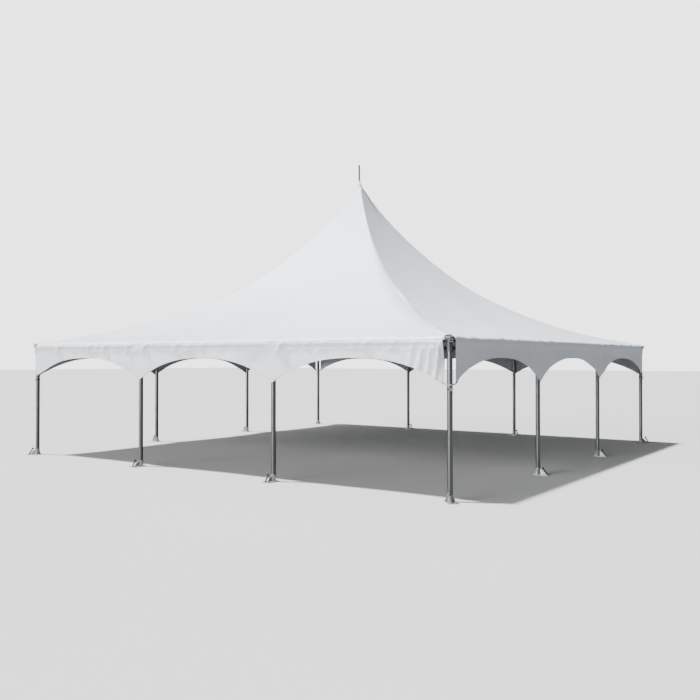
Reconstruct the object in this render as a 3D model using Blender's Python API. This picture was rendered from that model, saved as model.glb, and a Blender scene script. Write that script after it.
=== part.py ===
"""High-peak frame marquee: three bays a side on twelve legs, with a mast that
stands on two crossed cables. Metres, +Z up, origin on the ground at the centre
of the plan. The side called front faces -Y."""

import math

import bmesh
import bpy
from mathutils import Matrix, Vector

# Frame
SPAN = 9.144
BAYS = 3
BAY = SPAN / BAYS
HALF = SPAN / 2
AXIS_Z = 2.15
TUBE_R = 0.038
SLEEVE_WALL = 0.0035
TUBE_SIDES = 16
FIT = 0.0003
MERGE = 0.00005
SLEEVE_BORE = TUBE_R + FIT
SLEEVE_R = SLEEVE_BORE + SLEEVE_WALL
SLEEVE_LENGTH = 0.17
SLEEVE_STOP = 0.05
SLEEVE_STEP = 0.0004
BALL_R = SLEEVE_R + 0.0012
CABLE_LUG_REACH = 0.12
LUG_THICKNESS = 0.012
LUG_HEIGHT = 0.045
LUG_DROP = 0.012

# Foot, outwards from the leg's axis
PLATE_OUT = 0.19
PLATE_IN = 0.058
PLATE_HALF_WIDTH = 0.072
PLATE_THICKNESS = 0.010
GUSSET_THICKNESS = 0.008
GUSSET_OUT = 0.14
GUSSET_SIDE = 0.067
GUSSET_IN = 0.053
GUSSET_TALL = 0.105
GUSSET_LOW = 0.08

# Mast and its cables
CABLE_R = 0.006
CABLE_SIDES = 8
CABLE_DIP = 0.050
MAST_R = 0.028
SPIKE_R = 0.019
SPIKE_TOP = 6.00
BASE_R = 0.085
BASE_THICKNESS = 0.014
CUP_WALL = 0.006
CUP_HEIGHT = 0.13
BASE_LUG_REACH = 0.14

# Fabric
FABRIC = 0.004
WRAP_R = 0.046
PEAK_Z = 5.56
HIP_CURVE = 2.2
PEAK_RISE = 0.125
PEAK_REACH = 0.17
FACE_SAG = 0.10
SAG_SHIFT = 0.85
RINGS = 16
RING_CROWDING = 1.6
SIDE_STEPS = 12
CORNER_STEPS = 2
WRAP_STEPS = 4
EDGE_RADIUS = 0.004
HIP_RADIUS = 0.08
PEAK_ROUNDING = 0.85
PEAK_DIAGONAL = math.sqrt(2) - (math.sqrt(2) - 1) * PEAK_ROUNDING
COLLAR_R = 0.055
COLLAR_RISE = 0.016
COLLAR_GAP = 0.0024
ARCH_DEPTH = 0.295
TIP_DEPTH = 0.68
ARCH_POWER = 2.4
VALANCE_STEPS = 14
VALANCE_END = 0.05

SIDES = ("front", "right", "back", "left")
CORNERS = ("front_left", "front_right", "back_right", "back_left")


def clear_scene():
    for item in list(bpy.data.objects):
        bpy.data.objects.remove(item)


def make_material(name, colour, roughness, metallic=0.0):
    material = bpy.data.materials.new(name)
    material.use_nodes = True
    shader = material.node_tree.nodes["Principled BSDF"]
    shader.inputs["Base Color"].default_value = (*colour, 1.0)
    shader.inputs["Roughness"].default_value = roughness
    shader.inputs["Metallic"].default_value = metallic
    return material


def place(name, mesh, material, turn=0, location=(0.0, 0.0, 0.0), twist=0.0):
    """Stand a mesh in the scene, twisted about its own axis and then moved by
    quarter turns about the plan's centre."""
    item = bpy.data.objects.new(name, mesh)
    if not mesh.materials:
        mesh.materials.append(material)
    spin = Matrix.Rotation(turn * math.pi / 2, 4, "Z")
    item.location = spin @ Vector(location)
    item.rotation_euler = (0.0, 0.0, turn * math.pi / 2 + twist)
    bpy.context.scene.collection.objects.link(item)
    return item


def finish_mesh(shape, name, smooth=True):
    bmesh.ops.recalc_face_normals(shape, faces=shape.faces)
    mesh = bpy.data.meshes.new(name)
    shape.to_mesh(mesh)
    shape.free()
    if smooth:
        mesh.shade_smooth()
        mesh.set_sharp_from_angle(angle=math.radians(35))
    return mesh


def rod(start, end, radius, sides=TUBE_SIDES, name="rod"):
    """A round bar from one point to another."""
    start, end = Vector(start), Vector(end)
    shape = bmesh.new()
    bmesh.ops.create_cone(shape, cap_ends=True, segments=sides, radius1=radius,
                          radius2=radius, depth=(end - start).length)
    turn = Vector((0, 0, 1)).rotation_difference(end - start).to_matrix().to_4x4()
    bmesh.ops.transform(shape, matrix=Matrix.Translation((start + end) / 2) @ turn,
                        verts=shape.verts)
    return finish_mesh(shape, name)


def ball(centre, radius):
    shape = bmesh.new()
    bmesh.ops.create_uvsphere(shape, u_segments=TUBE_SIDES, v_segments=TUBE_SIDES // 2,
                              radius=radius, matrix=Matrix.Translation(centre))
    return finish_mesh(shape, "ball")


def block(low, high, turn=0.0):
    """A box between two corners, then turned about Z."""
    low, high = Vector(low), Vector(high)
    shape = bmesh.new()
    bmesh.ops.create_cube(shape, size=1.0)
    size = Matrix.Diagonal((*(high - low), 1.0))
    spin = Matrix.Rotation(turn, 4, "Z")
    bmesh.ops.transform(shape, matrix=spin @ Matrix.Translation((low + high) / 2) @ size,
                        verts=shape.verts)
    return finish_mesh(shape, "block", smooth=False)


def plate_prism(outline, thickness, turn):
    """An upright plate: an outline in X and Z, thick along Y, turned about Z."""
    shape = bmesh.new()
    points = [shape.verts.new((x, -thickness / 2, z)) for x, z in outline]
    face = shape.faces.new(points)
    moved = bmesh.ops.extrude_face_region(shape, geom=[face])["geom"]
    bmesh.ops.translate(shape, vec=(0, thickness, 0),
                        verts=[v for v in moved if isinstance(v, bmesh.types.BMVert)])
    bmesh.ops.rotate(shape, verts=shape.verts, matrix=Matrix.Rotation(turn, 3, "Z"))
    return finish_mesh(shape, "plate", smooth=False)


def turned(profile, name):
    """A closed outline of radius and height, turned about Z."""
    shape = bmesh.new()
    points = [shape.verts.new((r, 0, z)) for r, z in profile]
    edges = [shape.edges.new((points[i - 1], points[i])) for i in range(len(points))
             if profile[i - 1][0] + profile[i][0] > 0]
    bmesh.ops.spin(shape, geom=points + edges, cent=(0, 0, 0), axis=(0, 0, 1),
                   angle=math.tau, steps=TUBE_SIDES)
    bmesh.ops.remove_doubles(shape, verts=shape.verts, dist=MERGE)
    return finish_mesh(shape, name)


def combine(first, others, operation, name):
    """The union or difference of meshes as one new mesh."""
    scene = bpy.context.scene.collection
    target = bpy.data.objects.new("target", first)
    scene.objects.link(target)
    tools = []
    for mesh in others:
        tool = bpy.data.objects.new("tool", mesh)
        scene.objects.link(tool)
        step = target.modifiers.new("step", "BOOLEAN")
        step.operation = operation
        step.object = tool
        tools.append(tool)
    evaluated = target.evaluated_get(bpy.context.evaluated_depsgraph_get())
    result = bpy.data.meshes.new_from_object(evaluated)
    result.name = name
    for item in [target, *tools]:
        bpy.data.objects.remove(item)
    return result


def leg_mesh():
    """Tube, base plate and four gussets, with the leg's axis on Z and out to -Y."""
    tube = rod((0, 0, 0), (0, 0, AXIS_Z - SLEEVE_STOP), TUBE_R, name="leg")
    base = block((-PLATE_HALF_WIDTH, -PLATE_OUT, 0),
                 (PLATE_HALF_WIDTH, PLATE_IN, PLATE_THICKNESS))
    inside = TUBE_R / 2
    reaches = ((GUSSET_OUT, GUSSET_TALL, -math.pi / 2), (GUSSET_SIDE, GUSSET_LOW, 0.0),
               (GUSSET_IN, GUSSET_LOW, math.pi / 2), (GUSSET_SIDE, GUSSET_LOW, math.pi))
    foot_z = PLATE_THICKNESS / 2
    gussets = [plate_prism(((inside, foot_z), (reach, foot_z), (reach, PLATE_THICKNESS * 2),
                            (TUBE_R * 1.1, tall), (inside, tall)), GUSSET_THICKNESS, turn)
               for reach, tall, turn in reaches]
    return combine(tube, [base, *gussets], "UNION", "leg")


def fitting_mesh(name, runs, extras=()):
    """Sleeves that cross near the origin, bored at each end for the tube it holds."""
    sleeves, bores = [], []
    for i, (direction, back) in enumerate(runs):
        way = Vector(direction)
        sleeves.append(rod(way * -back, way * SLEEVE_LENGTH, SLEEVE_R + i * SLEEVE_STEP,
                           name=name))
        bores.append(rod(way * SLEEVE_STOP, way * SLEEVE_LENGTH * 1.1, SLEEVE_BORE))
        if back >= SLEEVE_LENGTH:
            bores.append(rod(way * -SLEEVE_STOP, way * -SLEEVE_LENGTH * 1.1, SLEEVE_BORE))
    body = combine(sleeves[0], sleeves[1:] + list(extras), "UNION", name)
    return combine(body, bores, "DIFFERENCE", name)


def corner_fitting_mesh():
    """Three sleeves round a ball, and a lug that points to the mast."""
    knuckle = ball((0, 0, 0), BALL_R)
    lug = block((LUG_THICKNESS, -LUG_THICKNESS / 2, -LUG_HEIGHT - LUG_DROP),
                (CABLE_LUG_REACH, LUG_THICKNESS / 2, -LUG_DROP), math.pi / 4)
    runs = (((1, 0, 0), 0.002), ((0, 1, 0), 0.003), ((0, 0, -1), 0.004))
    return fitting_mesh("corner_fitting", runs, (knuckle, lug))


def tee_fitting_mesh():
    """A sleeve along the eave with a socket under it for the leg."""
    return fitting_mesh("tee_fitting", (((1, 0, 0), SLEEVE_LENGTH), ((0, 0, -1), 0.0)))


def cable_ends():
    """Ends of the cable half that runs from the front right corner to the mast."""
    inward = Vector((-1, 1, 0)).normalized()
    corner = Vector((HALF, -HALF, AXIS_Z - LUG_DROP - LUG_HEIGHT / 2))
    hub = Vector((0, 0, corner.z - CABLE_DIP))
    return (corner + inward * (CABLE_LUG_REACH + 2 * FIT),
            hub - inward * (BASE_LUG_REACH + 2 * FIT))


def base_top():
    """Height of the floor of the cup that the mast stands in."""
    return cable_ends()[1].z + LUG_HEIGHT / 2


def mast_base_mesh():
    """Round plate with a cup for the mast and four lugs for the cables."""
    floor = base_top()
    lug_low = floor - LUG_HEIGHT
    plate = rod((0, 0, floor - BASE_THICKNESS), (0, 0, floor), BASE_R, name="mast_base")
    cup = rod((0, 0, floor - BASE_THICKNESS / 2), (0, 0, floor + CUP_HEIGHT),
              MAST_R + FIT + CUP_WALL)
    lugs = [block((MAST_R / 2, -LUG_THICKNESS / 2, lug_low),
                  (BASE_LUG_REACH, LUG_THICKNESS / 2, floor - BASE_THICKNESS / 3),
                  math.pi / 4 + k * math.pi / 2) for k in range(4)]
    body = combine(plate, [cup, *lugs], "UNION", "mast_base")
    bore = rod((0, 0, floor), (0, 0, floor + CUP_HEIGHT * 1.1), MAST_R + FIT)
    return combine(body, [bore], "DIFFERENCE", "mast_base")


def eave_z():
    return AXIS_Z + WRAP_R


def hip_height(part):
    """Height of the canopy's underside, part of the way from mast to eave. The mast
    draws the cloth up more steeply near the peak."""
    fall = (math.exp(-HIP_CURVE * part) - math.exp(-HIP_CURVE)) / (1 - math.exp(-HIP_CURVE))
    drawn = PEAK_RISE * math.exp(-part * HALF / PEAK_REACH)
    return eave_z() + (PEAK_Z - eave_z()) * fall + drawn


def row_points(reach, radius, height, sag=0.0):
    """The front quarter of a level ring round the mast, from hip to hip: a square
    with rounded corners, its side sagging towards the middle."""
    flat = reach - radius
    points = []
    for i in range(CORNER_STEPS + 1):
        angle = math.pi / 4 * i / CORNER_STEPS
        points.append(Vector((-flat - radius * math.cos(math.pi / 4 + angle),
                              -flat - radius * math.sin(math.pi / 4 + angle), height)))
    for i in range(1, SIDE_STEPS):
        along = -1 + 2 * i / SIDE_STEPS
        points.append(Vector((along * flat, -reach, height - sag * (1 - along * along))))
    points += [Vector((-p.x, p.y, p.z)) for p in reversed(points[:CORNER_STEPS + 1])]
    points[0].x += FIT
    points[-1].x -= FIT
    return points


def pitch_factor(part):
    """How much longer a plumb line through the cloth is than its thickness."""
    step = 0.001
    return math.hypot(1, (hip_height(part + step) - hip_height(part)) / (step * HALF))


def panel_rows(offset):
    """Rows of one face of a roof panel, offset outwards from its underside."""
    first = (SPIKE_R + 2 * FIT) / HALF
    rows = []
    for i in range(RINGS):
        part = first + (1 - first) * (i / RINGS) ** RING_CROWDING
        reach = part * HALF
        radius = min(reach * PEAK_ROUNDING, HIP_RADIUS)
        sag = FACE_SAG * math.sin(math.pi * part ** SAG_SHIFT) ** 2
        rows.append(row_points(reach, radius, hip_height(part) + offset * pitch_factor(part), sag))
    wrap = WRAP_R + offset
    for i in range(WRAP_STEPS + 1):
        angle = math.pi / 2 * (1 - i / WRAP_STEPS)
        out = wrap * math.cos(angle)
        rows.append(row_points(HALF + out, max(out, EDGE_RADIUS), AXIS_Z + wrap * math.sin(angle)))
    return rows


def sheet_mesh(inner, outer, name):
    """A closed solid between two grids of points, walled in all round."""
    shape = bmesh.new()
    rows, columns = len(inner), len(inner[0])
    grids = [[[shape.verts.new(p) for p in row] for row in grid] for grid in (inner, outer)]
    for grid in grids:
        for i in range(rows - 1):
            for j in range(columns - 1):
                shape.faces.new((grid[i][j], grid[i][j + 1], grid[i + 1][j + 1], grid[i + 1][j]))
    near, far = grids
    for i in (0, rows - 1):
        for j in range(columns - 1):
            shape.faces.new((near[i][j], near[i][j + 1], far[i][j + 1], far[i][j]))
    for j in (0, columns - 1):
        for i in range(rows - 1):
            shape.faces.new((near[i][j], near[i + 1][j], far[i + 1][j], far[i][j]))
    return finish_mesh(shape, name)


def arch_depth(along):
    """Depth of the valance under the eave's top, at a place along one side."""
    across = ((along + HALF) % BAY) / BAY * 2 - 1
    return ARCH_DEPTH + (TIP_DEPTH - ARCH_DEPTH) * abs(across) ** ARCH_POWER


def valance_rows(distance):
    """Rows of one face of the front's valance, from its top edge to its scallops."""
    top = AXIS_Z - FIT
    places = [max(-HALF + VALANCE_END, min(HALF - VALANCE_END, -HALF + BAY * i / VALANCE_STEPS))
              for i in range(BAYS * VALANCE_STEPS + 1)]
    rows = []
    for down in (0.0, 0.5, 1.0):
        rows.append([Vector((x, -HALF - distance,
                             top + (eave_z() - arch_depth(x) - top) * down)) for x in places])
    return rows


def mast_mesh():
    """Tube with a tapered head under the canopy and a thin spike through it."""
    foot = base_top() + FIT
    shoulder = hip_height(MAST_R / HALF) - 2 * FIT
    neck = hip_height(SPIKE_R / HALF) - 2 * FIT
    return turned(((0, foot), (MAST_R, foot), (MAST_R, shoulder), (SPIKE_R, neck),
                   (SPIKE_R, SPIKE_TOP), (0, SPIKE_TOP)), "mast")


def collar_mesh():
    """Rain collar round the spike, seated on the canopy."""
    hole = SPIKE_R + FIT
    low = [hip_height(r / PEAK_DIAGONAL / HALF) + FABRIC * pitch_factor(r / HALF) + COLLAR_GAP
           for r in (hole, COLLAR_R)]
    return turned(((hole, low[0]), (COLLAR_R, low[1]), (COLLAR_R, low[1] + FABRIC),
                   (hole, low[0] + COLLAR_RISE)), "peak_collar")


def build_frame(steel, cast):
    leg = leg_mesh()
    corner = corner_fitting_mesh()
    tee = tee_fitting_mesh()
    rail = rod((-BAY / 2 + SLEEVE_STOP + FIT, 0, 0), (BAY / 2 - SLEEVE_STOP - FIT, 0, 0),
               TUBE_R, name="eave_rail")
    for turn, side in enumerate(SIDES):
        place("leg_corner_" + CORNERS[turn], leg, steel, turn, (-HALF, -HALF, 0),
              twist=-math.pi / 4)
        place("corner_fitting_" + CORNERS[turn], corner, cast, turn, (-HALF, -HALF, AXIS_Z))
        for k in range(1, BAYS):
            x = -HALF + k * BAY
            place(f"leg_{side}_{k}", leg, steel, turn, (x, -HALF, 0))
            place(f"tee_fitting_{side}_{k}", tee, cast, turn, (x, -HALF, AXIS_Z))
        for k in range(BAYS):
            x = -HALF + (k + 0.5) * BAY
            place(f"eave_rail_{side}_{k + 1}", rail, steel, turn, (x, -HALF, AXIS_Z))


def build_mast(steel, cast):
    place("mast_base", mast_base_mesh(), cast)
    place("mast", mast_mesh(), steel)
    cable = rod(*cable_ends(), CABLE_R, CABLE_SIDES, "cross_cable")
    for turn in range(4):
        place("cross_cable_" + CORNERS[(turn + 1) % 4], cable, steel, turn)


def build_fabric(white):
    panel = sheet_mesh(panel_rows(0.0), panel_rows(FABRIC), "canopy")
    valance = sheet_mesh(valance_rows(WRAP_R), valance_rows(WRAP_R + FABRIC), "valance")
    for turn, side in enumerate(SIDES):
        place("canopy_" + side, panel, white, turn)
        place("valance_" + side, valance, white, turn)
    place("peak_collar", collar_mesh(), white)


def main():
    clear_scene()
    steel = make_material("galvanised_tube", (0.42, 0.43, 0.44), 0.38, 0.9)
    cast = make_material("cast_fitting", (0.50, 0.51, 0.53), 0.45, 0.85)
    white = make_material("white_fabric", (0.88, 0.90, 0.93), 0.45)
    build_frame(steel, cast)
    build_mast(steel, cast)
    build_fabric(white)


main()
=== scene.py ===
"""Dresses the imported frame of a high-peak marquee: coated cloth for the roof and
its scalloped valances, finishes for the tubes, and the small hardware."""

import math

import bmesh
import bpy
from mathutils import Matrix, Vector, noise


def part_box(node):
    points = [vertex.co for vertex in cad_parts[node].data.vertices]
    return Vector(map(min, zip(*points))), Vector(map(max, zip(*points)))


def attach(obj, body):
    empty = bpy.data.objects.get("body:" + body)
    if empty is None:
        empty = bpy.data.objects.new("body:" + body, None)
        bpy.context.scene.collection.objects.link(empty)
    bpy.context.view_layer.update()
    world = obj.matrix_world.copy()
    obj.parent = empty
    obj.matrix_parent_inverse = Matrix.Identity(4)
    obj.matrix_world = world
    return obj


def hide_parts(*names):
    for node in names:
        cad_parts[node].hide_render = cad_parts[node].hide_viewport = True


bl_info = {
    "name": "High-Peak Marquee",
    "version": (1, 0, 0),
    "blender": (4, 5, 0),
    "location": "3D View > Sidebar > Marquee",
    "description": "Cloth, tubes and hardware of a frame marquee with a tall peak",
    "category": "Add Mesh",
}

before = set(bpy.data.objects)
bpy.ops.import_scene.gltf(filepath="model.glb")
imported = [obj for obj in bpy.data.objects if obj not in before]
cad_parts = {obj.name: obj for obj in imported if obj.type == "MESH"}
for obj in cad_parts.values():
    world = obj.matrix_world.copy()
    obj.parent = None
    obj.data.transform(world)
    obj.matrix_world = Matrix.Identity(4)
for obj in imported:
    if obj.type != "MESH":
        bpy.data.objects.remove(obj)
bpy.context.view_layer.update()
BODY = "root"

SIDES = ("front", "right", "back", "left")
CORNERS = ("front_left", "front_right", "back_right", "back_left")
BAYS = 3


def middle(node):
    low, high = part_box(node)
    return (Vector(low) + Vector(high)) / 2


def extent(node):
    low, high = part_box(node)
    return Vector(high) - Vector(low)


# Sizes read from the frame
AXIS_Z = middle("eave_rail_front_1").z
TUBE_R = extent("eave_rail_front_1").z / 2
HALF = -middle("eave_rail_front_1").y
BAY = 2 * HALF / BAYS
SLEEVE_R = extent("tee_fitting_front_1").y / 2
SLEEVE_LENGTH = extent("tee_fitting_front_1").x / 2
WRAP_R = -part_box("valance_front")[1][1] - HALF
TIP_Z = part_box("valance_front")[0][2]
VALANCE_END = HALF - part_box("valance_front")[1][0]
MAST_R = extent("mast").x / 2
SPIKE_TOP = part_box("mast")[1][2]
PLATE_OUT = -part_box("leg_front_1")[0][1] - HALF
PLATE_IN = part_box("leg_front_1")[1][1] + HALF
PLATE_SIDE = extent("leg_front_1").x / 2
PLATE_TOP = 0.010
STAKE_OUT = PLATE_OUT - 0.026
STAKE_SIDE = 0.024
FOOT_TOP = 0.112
GUSSETS = ((0.14, 0.105), (0.067, 0.08), (0.053, 0.08), (0.067, 0.08))
SLEEVE_STOP = 0.05
BALL_R = SLEEVE_R + 0.0012
LUG_REACH = 0.12
HUB_REACH = 0.14
LUG_THICKNESS = 0.012
LUG_HEIGHT = 0.045
LUG_DROP = 0.012
CABLE_R = 0.006

# Sizes that the cloth and the frame share
PEAK_Z = 5.56
SPIKE_R = 0.019
HIP_CURVE = 2.2
PEAK_RISE = 0.125
PEAK_REACH = 0.17
FACE_SAG = 0.10
SAG_SHIFT = 0.85
PEAK_ROUNDING = 0.85
PEAK_DIAGONAL = math.sqrt(2) - (math.sqrt(2) - 1) * PEAK_ROUNDING
ARCH_DEPTH = 0.295
ARCH_POWER = 2.4
CLOTH = 0.0012
SEAM_DROP = 0.088
LAP = 0.012
RATCHET_DROP = -0.006
EAVE_SLACK = {"front": 1.0, "right": 0.1, "back": 0.5, "left": 0.8}
END_SHIFT = {"front": (-0.035, -0.028), "right": (0.028, 0.0), "back": (0.0, 0.0), "left": (0.0, 0.02)}
EAVE_Z = AXIS_Z + WRAP_R
TIP_DEPTH = EAVE_Z - TIP_Z


# Shader maths

class Value:
    """A socket of a finish, so that shader maths reads as an expression."""

    def __init__(self, finish, socket):
        self.finish = finish
        self.socket = socket

    def maths(self, operation, first, second=0.0):
        return self.finish.node("ShaderNodeMath", {"operation": operation}, {0: first, 1: second})

    def __add__(self, other):
        return self.maths("ADD", self, other)

    def __radd__(self, other):
        return self.maths("ADD", other, self)

    def __sub__(self, other):
        return self.maths("SUBTRACT", self, other)

    def __rsub__(self, other):
        return self.maths("SUBTRACT", other, self)

    def __mul__(self, other):
        return self.maths("MULTIPLY", self, other)

    def __rmul__(self, other):
        return self.maths("MULTIPLY", other, self)

    def __truediv__(self, other):
        return self.maths("DIVIDE", self, other)

    def __gt__(self, other):
        return self.maths("GREATER_THAN", self, other)

    def __lt__(self, other):
        return self.maths("LESS_THAN", self, other)


class Finish:
    """A material built node by node round one Principled shader."""

    def __init__(self, name, roughness, metallic=0.0, coat=0.0):
        self.material = bpy.data.materials.new(name)
        self.material.use_nodes = True
        self.tree = self.material.node_tree
        self.shader = self.tree.nodes["Principled BSDF"]
        self.shader.inputs["Roughness"].default_value = roughness
        self.shader.inputs["Metallic"].default_value = metallic
        self.shader.inputs["Coat Weight"].default_value = coat

    def node(self, kind, settings=None, values=None, output=0):
        made = self.tree.nodes.new(kind)
        for key, setting in (settings or {}).items():
            if key == "stops":
                ramp = made.color_ramp
                for i, (place, colour) in enumerate(setting):
                    stop = ramp.elements[i] if i < 2 else ramp.elements.new(place)
                    stop.position = place
                    stop.color = (*colour, 1.0)
            else:
                setattr(made, key, setting)
        for key, value in (values or {}).items():
            self.feed(made.inputs[key], value)
        return Value(self, made.outputs[output])

    def feed(self, socket, value):
        if isinstance(value, Value):
            self.tree.links.new(value.socket, socket)
        else:
            socket.default_value = value

    def place(self):
        return self.node("ShaderNodeTexCoord", output="Object")

    def parts(self, vector):
        split = self.node("ShaderNodeSeparateXYZ", values={0: vector})
        return [Value(self, socket) for socket in split.socket.node.outputs]

    def grain(self, scale, detail=3.0, vector=None, distortion=0.0):
        return self.node("ShaderNodeTexNoise", values={
            "Vector": vector or self.place(), "Scale": scale, "Detail": detail,
            "Distortion": distortion})

    def stretched(self, scale):
        """Object coordinates, stretched by a factor along each axis."""
        return self.node("ShaderNodeVectorMath", {"operation": "MULTIPLY"},
                         {0: self.place(), 1: scale})

    def mix(self, share, first, second):
        return self.node("ShaderNodeMix", {"data_type": "RGBA"},
                         {0: share, 6: (*first, 1.0) if isinstance(first, tuple) else first,
                          7: (*second, 1.0) if isinstance(second, tuple) else second}, output=2)

    def bump(self, height, distance, strength=1.0, below=None):
        values = {"Height": height, "Distance": distance, "Strength": strength}
        if below:
            values["Normal"] = below
        return self.node("ShaderNodeBump", values=values)

    def set(self, **feeds):
        for key, value in feeds.items():
            name = key.replace("_", " ").title()
            self.feed(self.shader.inputs[name], value)
        return self.material


def weave(finish, pitch):
    """Height of a plain weave seen through its coating, from three sets of ridges."""
    x, y, z = finish.parts(finish.place())
    turns = math.tau / pitch
    ridges = [(axis * turns).maths("SINE", axis * turns) for axis in (x, y, z)]
    return (ridges[0] + ridges[1] + ridges[2]) / 3


def cloth_finish(look):
    """Smooth white coated cloth: faint weave, slow mottling and dust by the eave."""
    finish = Finish("coated_cloth", 0.42, coat=0.12)
    mottle = finish.grain(0.9, 4.0)
    specks = finish.grain(26.0, 3.0)
    x, y, z = finish.parts(finish.place())
    dust = ((EAVE_Z + 0.5 - z) / 0.9) * finish.grain(3.2, 5.0, distortion=0.6)
    dust = finish.node("ShaderNodeClamp", values={"Value": dust * look.dust})
    white = tuple(look.cloth)
    shade = tuple(c * k for c, k in zip(look.cloth, (0.955, 0.965, 0.98)))
    base = finish.mix(mottle, shade, white)
    base = finish.mix(dust, base, (0.66, 0.66, 0.63))
    puckers = finish.grain(1.0, 2.0, vector=finish.stretched((13.0, 13.0, 4.0)))
    near_eave = finish.node("ShaderNodeMapRange", {"interpolation_type": "SMOOTHSTEP"},
                            {0: (z - (AXIS_Z - 0.02)).maths("ABSOLUTE", z - (AXIS_Z - 0.02)),
                             1: 0.0, 2: 0.16, 3: 1.0, 4: 0.0})
    lumps = finish.bump(finish.grain(3.5, 3.0) + puckers * near_eave * 1.6, 0.012, 0.8)
    fine = finish.bump(weave(finish, 0.0024), 0.00015, 0.5, below=lumps)
    return finish.set(base_color=base, roughness=0.36 + specks * 0.16, normal=fine)


def underside_shade_finish(look):
    """The cloth's underside: the same weave, less glossy, and greyer to paint the shade inside the tent.
    """
    finish = Finish("cloth_underside", 0.6)
    # painted shade: the grey of the underside stands in for the shade inside the tent
    grey = tuple(look.underside_shade)
    base = finish.mix(finish.grain(1.4, 4.0), tuple(c * 0.93 for c in grey), grey)
    fine = finish.bump(weave(finish, 0.0024), 0.0002, 0.6)
    return finish.set(base_color=base, normal=fine)


def edging_finish(look):
    """Folded binding with a row of stitches."""
    finish = Finish("bound_edge", 0.5)
    x, y, z = finish.parts(finish.place())
    along = x + y
    stitch = ((along * (math.tau / 0.007)).maths("SINE", along * (math.tau / 0.007)) > 0.2)
    tone = tuple(c * 0.93 for c in look.cloth)
    base = finish.mix(stitch, tone, tuple(c * 0.86 for c in look.cloth))
    ribs = finish.bump(weave(finish, 0.0016), 0.0003, 0.6)
    return finish.set(base_color=base, roughness=0.44 + finish.grain(40.0) * 0.2, normal=ribs)


def webbing_finish(name, colour):
    """Woven strap: close ribs across its run."""
    finish = Finish(name, 0.7)
    base = finish.mix(finish.grain(60.0, 4.0), tuple(c * 0.75 for c in colour), colour)
    ribs = finish.bump(weave(finish, 0.0022), 0.0006, 0.9)
    return finish.set(base_color=base, roughness=0.62 + finish.grain(90.0) * 0.2, normal=ribs)


def tube_finish(look):
    """Galvanised tube: crystal spangle, faint streaks along it and dull handling marks."""
    finish = Finish("galvanised", 0.34, metallic=0.92)
    cells = finish.node("ShaderNodeTexVoronoi", values={"Vector": finish.place(), "Scale": 42.0})
    marks = finish.grain(7.0, 6.0, distortion=0.4)
    streaks = finish.grain(1.0, 3.0, vector=finish.stretched((60.0, 60.0, 1.2)))
    bright = tuple(look.tube)
    dull = tuple(c * 0.80 for c in look.tube)
    base = finish.mix(cells * 0.2 + marks * 0.5, dull, bright)
    base = finish.mix(streaks * 0.08, base, (0.50, 0.51, 0.52))
    rough = 0.25 + marks * 0.08 + cells * 0.02
    return finish.set(base_color=base, roughness=rough, metallic=0.88 + marks * 0.10,
                      normal=finish.bump(marks, 0.0003, 0.05))


def spike_finish():
    """Weathered steel of the spike: dark grey and matt, paler where it is rubbed."""
    finish = Finish("weathered_spike", 0.55, metallic=0.4)
    rubbed = finish.grain(30.0, 5.0, distortion=0.3)
    base = finish.mix(rubbed, (0.055, 0.057, 0.060), (0.13, 0.133, 0.138))
    return finish.set(base_color=base, roughness=0.46 + rubbed * 0.2,
                      normal=finish.bump(rubbed, 0.0004, 0.3))


def cast_finish(look):
    """Cast or welded fitting: coarser skin, dull in its pits."""
    finish = Finish("cast_skin", 0.45, metallic=0.8)
    skin = finish.grain(120.0, 4.0)
    patches = finish.grain(11.0, 4.0)
    bright = tuple(c * 0.72 for c in look.tube)
    base = finish.mix(patches, tuple(c * 0.42 for c in look.tube), bright)
    return finish.set(base_color=base, roughness=0.46 + skin * 0.24,
                      normal=finish.bump(skin, 0.0005, 0.6))


def zinc_finish():
    """Hot-dipped base plate: pale, matt, with darker runs and rubbed patches."""
    finish = Finish("hot_dip_zinc", 0.45, metallic=0.75)
    patches = finish.grain(16.0, 5.0, distortion=0.5)
    skin = finish.grain(140.0, 3.0)
    base = finish.mix(patches, (0.28, 0.285, 0.29), (0.50, 0.505, 0.51))
    return finish.set(base_color=base, roughness=0.34 + skin * 0.24,
                      normal=finish.bump(skin, 0.0004, 0.4))


def bright_finish():
    """Zinc-plated hardware: buckles, pins and nuts."""
    finish = Finish("bright_zinc", 0.24, metallic=1.0)
    scuffs = finish.grain(70.0, 5.0)
    base = finish.mix(scuffs, (0.62, 0.63, 0.65), (0.86, 0.87, 0.88))
    return finish.set(base_color=base, roughness=0.16 + scuffs * 0.24,
                      normal=finish.bump(scuffs, 0.0002, 0.4))


def stake_finish():
    """Forged stake: dark, with rubbed and rusty patches."""
    finish = Finish("forged_stake", 0.6, metallic=0.6)
    rust = finish.grain(22.0, 6.0, distortion=0.8)
    base = finish.mix(rust, (0.045, 0.044, 0.043), (0.10, 0.088, 0.078))
    return finish.set(base_color=base, roughness=0.45 + rust * 0.35,
                      normal=finish.bump(rust, 0.001, 0.7))


def rope_finish():
    """Wire rope: six strands laid round each other, drawn as a helix in relief, with painted shade in the
    grooves between them and painted highlight on their crowns.
    """
    finish = Finish("wire_rope", 0.4, metallic=0.9)
    x, y, z = finish.parts(finish.place())
    along = x.maths("ABSOLUTE", x) + y.maths("ABSOLUTE", y)
    side = x.maths("ABSOLUTE", x) - y.maths("ABSOLUTE", y)
    lay = along * 340.0 + side * 420.0
    strands = lay.maths("SINE", lay)
    # painted shade and highlight: the colour follows the relief, dark in the grooves and pale on the
    # crowns
    base = finish.mix(strands * 0.5 + 0.5, (0.16, 0.165, 0.17), (0.50, 0.51, 0.52))
    return finish.set(base_color=base, roughness=0.34 + finish.grain(80.0) * 0.2,
                      normal=finish.bump(strands, 0.0012, 0.9))


# Mesh helpers

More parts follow.
